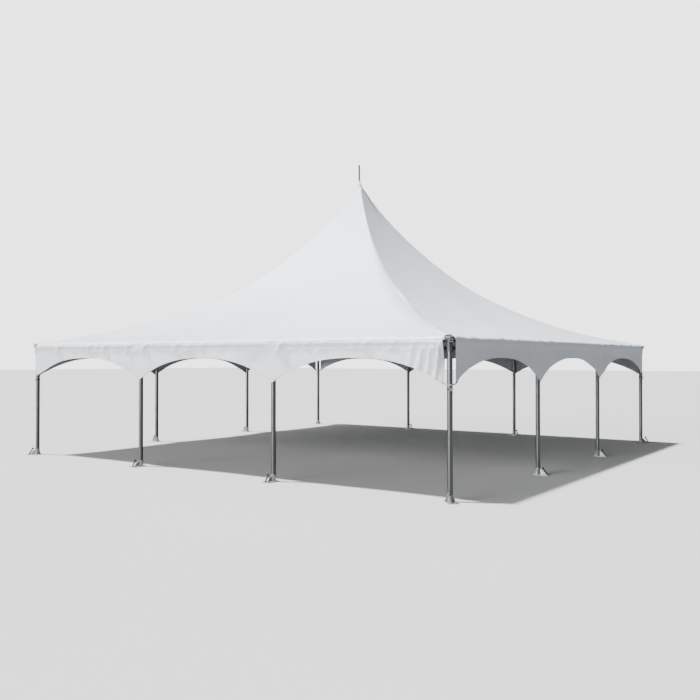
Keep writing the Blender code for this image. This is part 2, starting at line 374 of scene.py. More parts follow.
def make_piece(name, shape, finishes, replaces=(), flat=False):
    """Turn a bmesh into a piece that rides on the tent."""
    bmesh.ops.recalc_face_normals(shape, faces=shape.faces)
    mesh = bpy.data.meshes.new(name)
    shape.to_mesh(mesh)
    shape.free()
    if not flat:
        mesh.shade_smooth()
        mesh.set_sharp_from_angle(angle=math.radians(38))
    return place_piece(name, mesh, finishes, replaces)


def place_piece(name, mesh, finishes, replaces=()):
    for finish in finishes:
        mesh.materials.append(finish)
    piece = bpy.data.objects.new(name, mesh)
    bpy.context.scene.collection.objects.link(piece)
    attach(piece, BODY)
    if replaces:
        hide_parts(*replaces)
    return piece


def quarter(turn):
    return Matrix.Rotation(turn * math.pi / 2, 4, "Z")


def smooth_step(value):
    value = max(0.0, min(1.0, value))
    return value * value * (3 - 2 * value)


def add_grid(shape, rows, closed=False, skip=None):
    """Faces over rows of points, with an optional test for faces to leave out."""
    verts = [[shape.verts.new(point) for point in row] for row in rows]
    columns = len(rows[0]) if closed else len(rows[0]) - 1
    for i in range(len(rows) - 1):
        for j in range(columns):
            k = (j + 1) % len(rows[0])
            if not (skip and skip(i, j)):
                shape.faces.new((verts[i][j], verts[i][k], verts[i + 1][k], verts[i + 1][j]))
    loose = [v for v in shape.verts if not v.link_faces]
    bmesh.ops.delete(shape, geom=loose, context="VERTS")


def add_tube(shape, points, radius, sides=8, closed=False):
    """A round bar along a list of points, its ends capped."""
    points = [Vector(p) for p in points]
    count = len(points)
    rings = []
    normal = None
    for i, point in enumerate(points):
        before = points[i - 1] if closed or i else point
        after = points[(i + 1) % count] if closed or i < count - 1 else point
        way = (after - before).normalized()
        if normal is None:
            normal = way.orthogonal().normalized()
        normal = (normal - way * normal.dot(way)).normalized()
        across = way.cross(normal)
        ring = []
        for j in range(sides):
            angle = math.tau * j / sides
            ring.append(shape.verts.new(point + radius * (math.cos(angle) * normal
                                                          + math.sin(angle) * across)))
        rings.append(ring)
    for i in range(count if closed else count - 1):
        after = rings[(i + 1) % count]
        for j in range(sides):
            k = (j + 1) % sides
            shape.faces.new((rings[i][j], rings[i][k], after[k], after[j]))
    if not closed:
        shape.faces.new(rings[0])
        shape.faces.new(rings[-1])


def add_lathe(shape, profile, where=Matrix(), sides=16):
    """A turned solid from radii and heights; its first and last radius may be zero."""
    rings = []
    for radius, height in profile:
        if radius == 0:
            rings.append([shape.verts.new(where @ Vector((0, 0, height)))])
            continue
        rings.append([shape.verts.new(where @ Vector((radius * math.cos(math.tau * j / sides),
                                                      radius * math.sin(math.tau * j / sides),
                                                      height))) for j in range(sides)])
    for low, high in zip(rings, rings[1:]):
        for j in range(sides):
            k = (j + 1) % sides
            if len(low) == 1:
                shape.faces.new((low[0], high[k], high[j]))
            elif len(high) == 1:
                shape.faces.new((low[j], low[k], high[0]))
            else:
                shape.faces.new((low[j], low[k], high[k], high[j]))


def add_block(shape, size, where, edge=0.0):
    """A box about a frame of reference, its edges eased."""
    made = bmesh.ops.create_cube(shape, size=1.0,
                                 matrix=where @ Matrix.Diagonal((*size, 1.0)))["verts"]
    if edge:
        edges = {e for v in made for e in v.link_edges}
        bmesh.ops.bevel(shape, geom=list(edges), offset=edge, segments=2, affect="EDGES")


def add_bolt(shape, where, head_r=0.011, head=0.007, washer_r=0.014):
    """Hexagon head on a washer, standing on the frame's XY plane."""
    add_lathe(shape, ((0, 0), (washer_r, 0), (washer_r, 0.002), (0, 0.002)), where, 16)
    add_lathe(shape, ((0, 0.002), (head_r, 0.002), (head_r, head), (head_r * 0.8, head + 0.002),
                      (0, head + 0.002)), where, 6)


def aim(origin, way, up=(0, 0, 1)):
    """A frame of reference at a point with its Z along a direction."""
    way = Vector(way).normalized()
    side = Vector(up).cross(way)
    if side.length < 0.001:
        side = Vector((1, 0, 0)).cross(way)
    side.normalize()
    turn = Matrix((side, way.cross(side), way)).transposed().to_4x4()
    return Matrix.Translation(origin) @ turn


# Cloth

def hip_height(part):
    """Height of the roof cloth, part of the way from mast to eave, steeper by the peak."""
    fall = (math.exp(-HIP_CURVE * part) - math.exp(-HIP_CURVE)) / (1 - math.exp(-HIP_CURVE))
    drawn = PEAK_RISE * math.exp(-part * HALF / PEAK_REACH)
    return EAVE_Z + (PEAK_Z - EAVE_Z) * fall + drawn


def face_sag(part):
    return FACE_SAG * math.sin(math.pi * part ** SAG_SHIFT) ** 2


def hip_radius(part):
    """Radius of the roof's corner on the plan: sharp by the peak and the eave, soft between."""
    soft = 0.03 + 0.19 * smooth_step((part - 0.12) / 0.45)
    soft += 0.03 * math.exp(-(part * HALF / 0.12) ** 2)
    return min(part * HALF * PEAK_ROUNDING, soft * (1 - 0.95 * smooth_step((part - 0.80) / 0.2)))


def roof_lift(turn, part, x, y):
    """Small relief of the roof cloth: gathers at the peak, puckers along the eave and
    tension creases that run into the corners."""
    pucker = noise.noise(Vector((x * 4.5, y * 1.1, turn * 3.1))) * 0.020
    pucker = max(-0.006, pucker * math.exp(-(1 - part) * HALF / 0.25))
    slow = noise.noise(Vector((x * 0.7, y * 0.7, turn * 5.1))) * 0.030 * math.sin(math.pi * part)
    spread = math.hypot(x, y) + 1e-6
    gather = math.sin(34 * math.atan2(y, x)) * 0.006 * math.exp(-spread / 0.3)
    along_hip = math.hypot(x, y)
    off_hip = abs(abs(x) - abs(y)) * 0.7
    lacing = math.sin(math.tau * along_hip / 0.16) * 0.006 * math.exp(-(off_hip / 0.05) ** 2)
    lacing *= smooth_step((along_hip - 0.12) / 0.2) * (1 - smooth_step((part - 0.25) / 0.3))
    to_corner = math.hypot(abs(x) - HALF, abs(y) - HALF)
    angle = math.atan2(HALF - abs(y), HALF - abs(x))
    crease = math.sin(18 * angle) * 0.010 * math.exp(-to_corner / 0.6)
    return pucker + slow + gather + lacing + crease * min(1.0, to_corner / 0.25)


def eave_relief(turn, x, drop):
    """How far the cloth stands off its even line near the eave, drop metres under the
    tube's axis: a rolled band, a puckered seam under it and wrinkles that slant across."""
    legs = smooth_step(1 - (leg_distance(x) - 0.03) / 0.15)
    slack = EAVE_SLACK[SIDES[turn]]
    roll = 0.017 * math.exp(-((drop - 0.032) / 0.034) ** 2)
    seam = -0.008 * math.exp(-((drop - SEAM_DROP) / 0.016) ** 2)
    crowd = 0.35 + 0.65 * smooth_step(0.5 + 1.6 * noise.noise(Vector((x * 1.1, turn * 4.1, 0.7))))
    slant = x + 0.75 * drop
    fold = max(0.0, noise.noise(Vector((slant * 6.5, turn * 5.7, drop * 2.0))) + 0.06)
    fine = noise.noise(Vector((slant * 17.0, turn * 2.9, drop * 5.0)))
    spread = smooth_step((drop + 0.05) / 0.08) * math.exp(-(max(0.0, drop - 0.07) / 0.08) ** 2)
    wrinkle = (0.085 * fold ** 1.2 + 0.009 * fine) * spread * crowd * (0.15 + 0.85 * slack)
    nick = noise.noise(Vector((x * 15.0, turn * 8.3, 1.9))) * 0.008
    nick *= math.exp(-((drop + 0.02) / 0.03) ** 2)
    line = (roll + seam) * slack * (1 - 0.9 * legs)
    return max(-0.005, line + (wrinkle + nick) * (1 - 0.5 * legs))


def roof_row(reach, radius, height, shape_point):
    """A closed ring of roof points, one side after another."""
    flat = reach - radius
    points = []
    for turn in range(4):
        spin = Matrix.Rotation(turn * math.pi / 2, 3, "Z")
        local = [(a, Vector((a * flat, -reach, height))) for a in ROOF_PLACES]
        for i in range(1, CORNER_STEPS):
            angle = -math.pi / 2 + i / CORNER_STEPS * math.pi / 2
            local.append((1.0, Vector((flat + radius * math.cos(angle),
                                       -flat + radius * math.sin(angle), height))))
        points += [spin @ shape_point(turn, a, point) for a, point in local]
    return points


def roof_point(turn, along, point, part):
    sag = face_sag(part) * (1 - along * along)
    return point + Vector((0, 0, roof_lift(turn, part, point.x, point.y) - sag))


def wrap_point(turn, point, angle, drop):
    """A point of the cloth over the eave tube, pushed out by the eave's wrinkles."""
    out = eave_relief(turn, point.x, drop)
    lift = roof_lift(turn, 1.0, point.x, point.y) * max(0.0, math.sin(angle))
    return point + Vector((0, -out * math.cos(angle), out * math.sin(angle) + lift))


ROOF_STEPS = 148
ROOF_PLACES = ([-1.0] + [(-1 + 0.055 / HALF) * (1 - 2 * i / ROOF_STEPS)
                         for i in range(ROOF_STEPS + 1)] + [1.0])
CORNER_STEPS = 6
ROWS_DOWN = 54
SIDE_POINTS = len(ROOF_PLACES) + CORNER_STEPS - 1


def canopy_rows(wraps=8):
    """Rings of the roof cloth from the peak down and over the eave tubes."""
    first = (SPIKE_R + 0.001) / HALF
    rows = []
    for i in range(ROWS_DOWN):
        part = first + (1 - first) * (i / ROWS_DOWN) ** 1.35
        rows.append(roof_row(part * HALF, hip_radius(part), hip_height(part),
                             lambda turn, a, point: roof_point(turn, a, point, part)))
    for i in range(wraps + 2):
        angle = math.pi / 2 * max(0.0, 1 - i / wraps)
        drop = -WRAP_R * math.sin(angle) if i <= wraps else LAP
        out = WRAP_R * math.cos(angle)
        rows.append(roof_row(HALF + out, max(out, 0.004), AXIS_Z - drop,
                             lambda turn, a, point: wrap_point(turn, point, angle, drop)))
    return rows


def build_canopy(look, finishes):
    """The roof: one sheet from the peak over the eave tubes, notched at the corners."""
    def in_notch(i, j):
        spot = j % SIDE_POINTS
        return i > ROWS_DOWN and (spot == 0 or spot >= len(ROOF_PLACES) - 2)

    shape = bmesh.new()
    add_grid(shape, canopy_rows(), closed=True, skip=in_notch)
    cloth = make_piece("canopy_cloth", shape, finishes,
                       ["canopy_" + side for side in SIDES])
    thicken(cloth)


def thicken(cloth):
    """Give a sheet its thickness outwards, with its own finish underneath."""
    step = cloth.modifiers.new("cloth_thickness", "SOLIDIFY")
    step.thickness = CLOTH
    step.offset = 1.0
    step.material_offset = 1
    step.material_offset_rim = 0
    return step


def arch_depth(x):
    across = ((x + HALF) % BAY) / BAY * 2 - 1
    return ARCH_DEPTH + (TIP_DEPTH - ARCH_DEPTH) * abs(across) ** ARCH_POWER


def leg_distance(x):
    """Distance along the side to the nearest leg."""
    across = ((x + HALF) % BAY) / BAY
    return min(across, 1 - across) * BAY


def valance_point(turn, x, drop):
    """A point of the valance hung from one side, drop metres under the eave's axis."""
    near_leg = smooth_step(1 - (leg_distance(x) - 0.03) / 0.22)
    low = smooth_step((drop - 0.06) / 0.3)
    billow = noise.noise(Vector((x * 0.9, drop * 1.3, turn * 9.1))) * 0.034 * low
    flutter = noise.noise(Vector((x * 3.6, drop * 1.6, turn * 2.3))) * 0.012 * low
    lap = 0.0018 * (1 - smooth_step(drop / 0.03))
    out = WRAP_R - lap + eave_relief(turn, x, drop) + (billow + flutter) * (1 - near_leg)
    loose = loose_end(turn, x)
    out += loose * corner_folds(x, drop)
    curl = smooth_step((x - (HALF - VALANCE_END - 0.07)) / 0.07) * (SIDES[turn] == "front")
    out -= 0.05 * curl * smooth_step(drop / 0.12)
    start, end = END_SHIFT[SIDES[turn]]
    place = x + start * end_share(-x) + end * end_share(x)
    return Vector((place, -HALF - out, AXIS_Z - drop))


def end_share(x):
    """How much a place of the valance follows its end, where it is drawn along the side."""
    return smooth_step((x - (HALF - VALANCE_END - 0.3)) / 0.3)


def loose_end(turn, x):
    """How much a place belongs to the loose end of the front valance, by its right corner."""
    return smooth_step((x - (HALF - 0.95)) / 0.8) if SIDES[turn] == "front" else 0.0


def corner_folds(x, drop):
    """Hanging folds, deeper and further apart towards the bottom."""
    free = smooth_step((drop - 0.0) / 0.14)
    wide = math.sin(math.tau * (x + drop * 0.30) / 0.155)
    narrow = math.sin(math.tau * (x + drop * 0.12) / 0.071 + 1.3)
    return free * (0.020 * wide + 0.007 * narrow + 0.018)


def valance_places():
    """Places of the valance's columns along one side, closer together at the legs."""
    steps = 100
    end = HALF - VALANCE_END
    places = []
    for i in range(BAYS * steps + 1):
        bay, ease = divmod(i / steps, 1)
        x = -HALF + (bay + ease - 0.3 / math.tau * math.sin(math.tau * ease)) * BAY
        if abs(x) < end - 0.004:
            places.append(x)
    return [-end, *places, end]


def valance_base(x):
    return EAVE_Z - AXIS_Z - arch_depth(x)


def build_valances(look, finishes):
    """Four strips of cloth, scalloped between the legs."""
    drops = 26
    for turn, side in enumerate(SIDES):
        rows = []
        for i in range(drops + 1):
            share = (i / drops) ** 1.15
            rows.append([quarter(turn) @ valance_point(turn, x, -valance_base(x) * share)
                         for x in valance_places()])
        shape = bmesh.new()
        add_grid(shape, rows)
        cloth = make_piece("valance_cloth_" + side, shape, finishes,
                           ["valance_" + side])
        area = sum(-valance_base(x) for x in valance_places()) / len(valance_places())
        thicken(cloth)
        -valance_base(HALF - VALANCE_END)
        2 * (HALF - VALANCE_END) * area


def build_edging(look, finish):
    """Binding that follows the valance's scallops."""
    for turn, side in enumerate(SIDES):
        line = [quarter(turn) @ (valance_point(turn, x, -valance_base(x)) + Vector((0, 0, 0.002)))
                for x in valance_places()]
        shape = bmesh.new()
        add_tube(shape, line, look.binding / 2, 8)
        make_piece("valance_binding_" + side, shape, [finish])


def build_hip_seams(finish, webbing):
    """Tape welded over each hip, and the webbing sewn under it."""
    for name, lift, material in (("hip_tapes", 0.0045, finish), ("hip_webbing", -0.0032, webbing)):
        shape = bmesh.new()
        for turn in range(4):
            start = turn * SIDE_POINTS + len(ROOF_PLACES) - 2
            strip = []
            for row in canopy_rows()[2:ROWS_DOWN + 1]:
                strip.append([row[(start + j) % len(row)] + Vector((0, 0, lift))
                              for j in range(CORNER_STEPS + 3)])
            add_grid(shape, strip)
        thicken(make_piece(name, shape, [material, material]))


def collar_height(radius, lift):
    """Height over the roof cloth at a distance from the spike."""
    return hip_height(radius / PEAK_DIAGONAL / HALF) + lift


def build_collar(cloth, bright):
    """Rain collar of folded cloth, held to the spike by a clamp band."""
    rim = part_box("peak_collar")[1][0]
    hole = SPIKE_R + 0.0005
    places = [hole + 0.004 + (rim - hole - 0.004) * i / 8 for i in range(9)]
    neck = collar_height(hole, 0.012)
    under = [(radius, collar_height(radius, 0.006)) for radius in places]
    over = [(radius, collar_height(radius, 0.0095)) for radius in reversed(places)]
    bead = [(rim + 0.003 * math.sin(a), collar_height(rim, 0.0075) - 0.003 * math.cos(a))
            for a in (math.pi * i / 6 for i in range(1, 6))]
    shape = bmesh.new()
    add_lathe(shape, ((hole, under[0][1]), *under, *bead, *over, (hole + 0.0035, neck),
                      (hole + 0.0035, neck + 0.022), (hole, neck + 0.022),
                      (hole, under[0][1])), sides=32)
    make_piece("collar_cloth", shape, [cloth], ["peak_collar"])
    band = bmesh.new()
    add_lathe(band, ((hole + 0.0038, neck + 0.006), (hole + 0.0055, neck + 0.006),
                     (hole + 0.0055, neck + 0.016), (hole + 0.0038, neck + 0.016),
                     (hole + 0.0038, neck + 0.006)), sides=32)
    add_block(band, (0.012, 0.007, 0.009), Matrix.Translation((hole + 0.010, 0, neck + 0.011)), 0.001)
    add_lathe(band, ((0, 0), (0.003, 0), (0.003, 0.020), (0, 0.020)),
              aim((hole + 0.010, -0.010, neck + 0.011), (0, 1, 0)), 8)
    make_piece("collar_clamp", band, [bright])


def build_spike_cap(spike):
    """Rounded cap on the end of the spike."""
    shape = bmesh.new()
    cap = SPIKE_R + 0.0015
    profile = [(0, SPIKE_TOP + 0.010)]
    for i in range(1, 5):
        angle = math.pi / 2 * i / 4
        profile.append((cap * math.sin(angle), SPIKE_TOP - 0.004 + 0.014 * math.cos(angle)))
    profile += [(cap, SPIKE_TOP - 0.03), (SPIKE_R + 0.0002, SPIKE_TOP - 0.031)]
    add_lathe(shape, profile, sides=20)
    make_piece("spike_cap", shape, [spike])


# Frame

def leg_spots():
    """Each leg's foot on the plan, with the way that its plate points."""
    spots = []
    for turn in range(4):
        spin = quarter(turn)
        spots.append((spin @ Vector((-HALF, -HALF, 0)),
                      (spin @ Vector((-1, -1, 0))).normalized(), True))
        for k in range(1, BAYS):
            spots.append((spin @ Vector((-HALF + k * BAY, -HALF, 0)),
                          spin @ Vector((0, -1, 0)), False))
    return spots


def nodes_named(start):
    return [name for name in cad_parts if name.startswith(start)]


def add_gusset(shape, where, inner, outer, low, tall, thickness):
    """A triangular stiffener that stands in the XZ plane, with eased edges."""
    outline = ((inner, low), (outer, low), (outer, low + 0.012), (TUBE_R + 0.006, tall),
               (inner, tall))
    near, far = ([shape.verts.new(where @ Vector((x, side * thickness / 2, z)))
                  for x, z in outline] for side in (-1, 1))
    faces = [shape.faces.new(near), shape.faces.new(far)]
    for i in range(len(outline)):
        faces.append(shape.faces.new((near[i - 1], near[i], far[i], far[i - 1])))
    edges = {edge for face in faces for edge in face.edges}
    bmesh.ops.bevel(shape, geom=list(edges), offset=0.0012, segments=2, affect="EDGES")


def build_legs(tube, zinc):
    """Round tubes that stand in sockets on base plates with four gussets each."""
    top = AXIS_Z - SLEEVE_STOP
    socket = TUBE_R + 0.0035
    tubes, plates = bmesh.new(), bmesh.new()
    for foot, out, corner in leg_spots():
        add_lathe(tubes, ((0, 0.002), (TUBE_R, 0.002), (TUBE_R, top - 0.002),
                          (TUBE_R - 0.002, top), (0, top)), Matrix.Translation(foot), 40)
        add_lathe(plates, ((TUBE_R, 0.004), (socket, 0.004), (socket, FOOT_TOP - 0.012),
                           (socket + 0.0012, FOOT_TOP - 0.010), (socket + 0.0012, FOOT_TOP - 0.002),
                           (socket, FOOT_TOP), (TUBE_R, FOOT_TOP)), Matrix.Translation(foot), 40)
        stand = Matrix.Translation(foot) @ Matrix.Rotation(math.atan2(out.y, out.x), 4, "Z")
        middle_x = (PLATE_OUT - PLATE_IN) / 2
        add_block(plates, (PLATE_OUT + PLATE_IN, 2 * PLATE_SIDE, PLATE_TOP),
                  stand @ Matrix.Translation((middle_x, 0, PLATE_TOP / 2)), 0.0015)
        for k, (reach, tall) in enumerate(GUSSETS):
            add_gusset(plates, stand @ Matrix.Rotation(k * math.pi / 2, 4, "Z"), TUBE_R * 0.8,
                       reach, PLATE_TOP - 0.001, tall, 0.008)
    make_piece("leg_tubes", tubes, [tube], nodes_named("leg_"))
    make_piece("base_plates", plates, [zinc])


def build_rails(finish):
    """Round eave tubes, one for each bay."""
    shape = bmesh.new()
    long = BAY / 2 - SLEEVE_STOP - 0.0003
    for turn in range(4):
        for k in range(BAYS):
            centre = quarter(turn) @ Vector((-HALF + (k + 0.5) * BAY, -HALF, AXIS_Z))
            where = aim(centre, quarter(turn) @ Vector((1, 0, 0)))
            add_lathe(shape, ((0, -long), (TUBE_R, -long), (TUBE_R, long), (0, long)), where, 40)
    make_piece("eave_tubes", shape, [finish], nodes_named("eave_rail_"))


def add_sleeve(shape, centre, way, radius):
    """A sleeve from a fitting's centre, bored for its tube, with a rounded lip."""
    bore = TUBE_R + 0.0003
    add_lathe(shape, ((0, 0), (radius, 0), (radius, SLEEVE_LENGTH - 0.014),
                      (radius + 0.0012, SLEEVE_LENGTH - 0.011), (radius + 0.0012, SLEEVE_LENGTH - 0.0015),
                      (radius, SLEEVE_LENGTH), (bore, SLEEVE_LENGTH), (bore, SLEEVE_STOP),
                      (0, SLEEVE_STOP)), aim(centre, way), 40)


def build_fittings(finish):
    """Corner fittings with a ball and a cable lug, and tees over the other legs."""
    corners, tees = bmesh.new(), bmesh.new()
    for foot, out, corner in leg_spots():
        centre = foot + Vector((0, 0, AXIS_Z))
        add_sleeve(corners if corner else tees, centre, (0, 0, -1), SLEEVE_R - 0.0004)
        if not corner:
            for way in (out.cross(Vector((0, 0, 1))), Vector((0, 0, 1)).cross(out)):
                add_sleeve(tees, centre, way, SLEEVE_R)
            continue
        for way in (Vector((-math.copysign(1, foot.x), 0, 0)),
                    Vector((0, -math.copysign(1, foot.y), 0))):
            add_sleeve(corners, centre, way, SLEEVE_R)
        ball = [(0, -BALL_R)] + [(BALL_R * math.cos(a), BALL_R * math.sin(a))
                                 for a in (math.pi * (i / 14 - 0.5) for i in range(1, 14))]
        add_lathe(corners, ball + [(0, BALL_R)], Matrix.Translation(centre), 36)
        reach = LUG_REACH - 0.012
        lug = (Matrix.Translation(centre - Vector((0, 0, LUG_DROP + LUG_HEIGHT / 2)))
               @ Matrix.Rotation(math.atan2(-out.y, -out.x), 4, "Z"))
        add_block(corners, (reach, LUG_THICKNESS, LUG_HEIGHT),
                  lug @ Matrix.Translation((0.012 + reach / 2, 0, 0)), 0.002)
    make_piece("corner_fittings", corners, [finish],
               nodes_named("corner_fitting_"))
    make_piece("tee_fittings", tees, [finish], nodes_named("tee_fitting_"))


def build_mast(tube, cast, spike):
    """The mast with its spike, and the base that the cables carry."""
    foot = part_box("mast")[0][2]
    shoulder, neck = (hip_height(radius / HALF) - 0.0006 for radius in (MAST_R, SPIKE_R))
    shape = bmesh.new()
    add_lathe(shape, ((0, foot), (MAST_R, foot), (MAST_R, shoulder), (SPIKE_R, neck),
                      (SPIKE_R, SPIKE_TOP - 0.001), (0, SPIKE_TOP)), sides=40)
    for face in shape.faces:
        face.material_index = int(face.calc_center_median().z > neck)
    make_piece("mast_tube", shape, [tube, spike], ["mast"])
    floor = foot - 0.0003
    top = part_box("mast_base")[1][2]
    cup = MAST_R + 0.0063
    rim = 0.085
    shape = bmesh.new()
    add_lathe(shape, ((0, floor - 0.014), (rim - 0.002, floor - 0.014), (rim, floor - 0.012),
                      (rim, floor - 0.002), (rim - 0.002, floor), (cup + 0.005, floor),
                      (cup + 0.001, floor + 0.004), (cup, top - 0.012), (cup + 0.0015, top - 0.009),
                      (cup + 0.0015, top - 0.002), (cup, top), (MAST_R + 0.0003, top),
                      (MAST_R + 0.0003, floor + 0.0001), (0, floor + 0.0001)), sides=40)
    for k in range(4):
        lug = Matrix.Rotation(math.pi / 4 + k * math.pi / 2, 4, "Z")
        add_block(shape, (HUB_REACH - 0.014, LUG_THICKNESS, LUG_HEIGHT - 0.0047),
                  lug @ Matrix.Translation((HUB_REACH / 2 + 0.007, 0,
                                            floor - (LUG_HEIGHT + 0.0047) / 2)), 0.002)
        bolt = Matrix.Rotation(k * math.pi / 2, 4, "Z") @ Matrix.Translation((0.062, 0, floor))
        add_bolt(shape, bolt)
    make_piece("mast_seat", shape, [cast], ["mast_base"])


def build_cables(finish):
    """Four taut wire ropes from the corner lugs to the mast's base."""
    shape = bmesh.new()
    for turn in range(4):
        add_tube(shape, cable_line(turn), CABLE_R, 14)
    make_piece("cross_cables", shape, [finish], nodes_named("cross_cable_"))


# Hardware

def build_stakes(look, dark):
    """A leaning stake with an upset head through the outer end of every plate."""
    shape = bmesh.new()
    radius = look.stake / 2
    for i, (foot, out, corner) in enumerate(leg_spots()):
        lean = math.radians(33 + 8 * noise.noise(Vector((i * 1.7, 0.3, 0))))
        way = Vector((0, 0, 1)) * math.cos(lean) - out * math.sin(lean)
        across = out.cross(Vector((0, 0, 1)))
        start = foot + out * STAKE_OUT + across * STAKE_SIDE + Vector((0, 0, PLATE_TOP + 0.0003))
        where = aim(start, way)
        tall = 0.115 + 0.02 * noise.noise(Vector((0.2, i * 2.3, 0)))
        add_lathe(shape, ((0, 0.002), (radius, 0.003), (radius, tall), (radius * 1.9, tall + 0.004),
                          (radius * 2.0, tall + 0.012), (radius * 1.5, tall + 0.020),
                          (0, tall + 0.022)), where, 14)
    make_piece("ground_stakes", shape, [dark])


def build_plate_hardware(bright, dark):
    """Stake washers, weld beads and the pivot bolt of every foot."""
    bolts = bmesh.new()
    beads = bmesh.new()
    for foot, out, corner in leg_spots():
        across = out.cross(Vector((0, 0, 1)))
        face = foot + Vector((0, 0, PLATE_TOP + 0.0003))
        ring = aim(face + out * STAKE_OUT + across * STAKE_SIDE, (0, 0, 1))
        add_lathe(bolts, ((0.0165, 0), (0.0225, 0), (0.0225, 0.003), (0.0165, 0.003), (0.0165, 0)),
                  ring, 20)
        for way, side in ((0.108, -1), (0.108, 1), (-0.036, -1), (-0.036, 1)):
            add_bolt(bolts, aim(face + out * way + across * (side * 0.055), (0, 0, 1)))
        bead = [foot + Vector((0, 0, PLATE_TOP + 0.002))
                + (TUBE_R + 0.0055) * (math.cos(a) * out + math.sin(a) * across)
                for a in (math.tau * i / 28 for i in range(28))]
        add_tube(beads, bead, 0.0035, 6, closed=True)
    make_piece("plate_bolts", bolts, [bright])
    make_piece("weld_beads", beads, [dark])


def build_pins(bright):
    """Clevis pins with spring clips through the sleeves of every fitting."""
    shape = bmesh.new()
    reach = SLEEVE_LENGTH - 0.05
    for foot, out, corner in leg_spots():
        head = Vector((0, 0, AXIS_Z))
        arms = [Vector((0, 0, -1))]
        if corner:
            arms += [Vector((-math.copysign(1, foot.x), 0, 0)),
                     Vector((0, -math.copysign(1, foot.y), 0))]
        else:
            side = out.cross(Vector((0, 0, 1)))
            arms += [side, -side]
        for arm in arms:
            centre = foot + head + arm * reach
            inward = -out
            way = Vector((0, 0, -1)) if arm.z == 0 else inward - arm * inward.dot(arm)
            if arm.z == 0 and corner:
                way = Vector((0, 0, -1))
            add_pin(shape, centre, way.normalized())
    make_piece("sleeve_pins", shape, [bright])


def add_pin(shape, centre, way):
    """A pin through a sleeve: its head on one side, a wire clip on the other."""
    face = centre + way * (SLEEVE_R + 0.0006)
    where = aim(face, way)
    add_lathe(shape, ((0, 0), (0.006, 0), (0.006, 0.016), (0.0045, 0.019), (0, 0.019)), where, 12)
    wire = [where @ Vector((0.0065 * math.cos(a) + 0.004, 0.0065 * math.sin(a), 0.009))
            for a in (math.radians(40 + 290 * i / 14) for i in range(15))]
    wire.append(where @ Vector((0.034, -0.0035, 0.009)))
    add_tube(shape, wire, 0.0014, 6)


def build_leg_hole_shades(dark):
    """The row of adjusting holes in the upper part of each leg, each drawn as a dark disc just proud of
    the tube that paints the shade inside the hole.
    """
    shape = bmesh.new()
    for foot, out, corner in leg_spots():
        facing = Vector((out.y, -out.x, 0))
        for k in range(4):
            height = AXIS_Z - SLEEVE_LENGTH - 0.03 - 0.045 * k
            for side in (out, facing):
                where = aim(foot + Vector((0, 0, height)) + side * (TUBE_R * 0.985), side)
                # painted shade: a dark disc stands in for the shade inside each hole
                add_lathe(shape, ((0, 0.0011), (0.0055, 0.0011), (0.0062, 0.0006), (0.0062, 0)),
                          where, 12)
    make_piece("leg_hole_shades", shape, [dark])


def strap(shape, line, width, up, thickness=0.0018):
    """A flat strap along a line of points; up is the way that its width runs."""
    rows = []
    up = Vector(up)
    for i, point in enumerate(line):
        before = line[max(0, i - 1)]
        after = line[min(len(line) - 1, i + 1)]
        way = (Vector(after) - Vector(before)).normalized()
        wide = (up - way * up.dot(way)).normalized() * width / 2
        thick = way.cross(wide).normalized() * thickness / 2
        point = Vector(point)
        rows.append([point - wide - thick, point + wide - thick,
                     point + wide + thick, point - wide + thick])
    add_grid(shape, rows, closed=True)
    shape.verts.ensure_lookup_table()
    count = len(rows) * 4
    first = len(shape.verts) - count
    shape.faces.new([shape.verts[first + k] for k in range(4)])
    shape.faces.new([shape.verts[len(shape.verts) - 4 + k] for k in range(4)])


def build_tip_straps(webbing, bright):
    """Straps that tie the valance's tips round the corner legs."""
    shape = bmesh.new()
    buckles = bmesh.new()
    for foot, out, corner in leg_spots():
        if not corner:
            continue
        across = out.cross(Vector((0, 0, 1)))
        level = TIP_Z - 0.035
        radius = TUBE_R + 0.0025
        ring = [foot + Vector((0, 0, level)) + radius * (math.cos(a) * out + math.sin(a) * across)
                for a in (math.tau * i / 32 for i in range(33))]
        strap(shape, ring, 0.022, (0, 0, 1))
        where = aim(foot + Vector((0, 0, level)) + out * (radius + 0.006), out)
        add_block(buckles, (0.034, 0.040, 0.006), where, 0.0015)
        add_block(buckles, (0.022, 0.006, 0.012), where, 0.001)
        tail = [foot + out * (radius + 0.008 + 0.010 * t * t) + Vector((0, 0, level - 0.02 - 0.05 * t))
                for t in (i / 8 for i in range(9))]
        strap(shape, tail, 0.016, across)
    make_piece("tip_straps", shape, [webbing])
    make_piece("tip_buckles", buckles, [bright])


def build_corner_slings(webbing):
    """A sling at each corner that joins the two valance tips in front of the leg."""
    shape = bmesh.new()
    end = HALF - VALANCE_END
    drop = -valance_base(end)
    for turn in range(4):
        inner, tip = (valance_point(turn, end - away, drop - lift) + Vector((0, -0.003, 0))
                      for away, lift in ((0.07, 0.035), (0.004, 0.014)))
        after = (turn + 1) % 4
        other_tip, other = (quarter(1) @ (valance_point(after, away - end, drop - lift)
                                          + Vector((0, -0.003, 0)))
                            for away, lift in ((0.004, 0.014), (0.07, 0.035)))
        front = Vector((HALF, -HALF, 0)) + Vector((1, -1, 0)).normalized() * (TUBE_R + 0.010)
        front.z = min(tip.z, other_tip.z) - 0.018
        pull = front * 2 - (tip + other_tip) / 2
        line = [inner]
        for i in range(25):
            t = i / 24
            line.append(tip * (1 - t) ** 2 + pull * (2 * t * (1 - t)) + other_tip * t ** 2)
        line.append(other)
        strap(shape, [quarter(turn) @ point for point in line], 0.018, (0, 0, 1))
    make_piece("corner_slings", shape, [webbing])


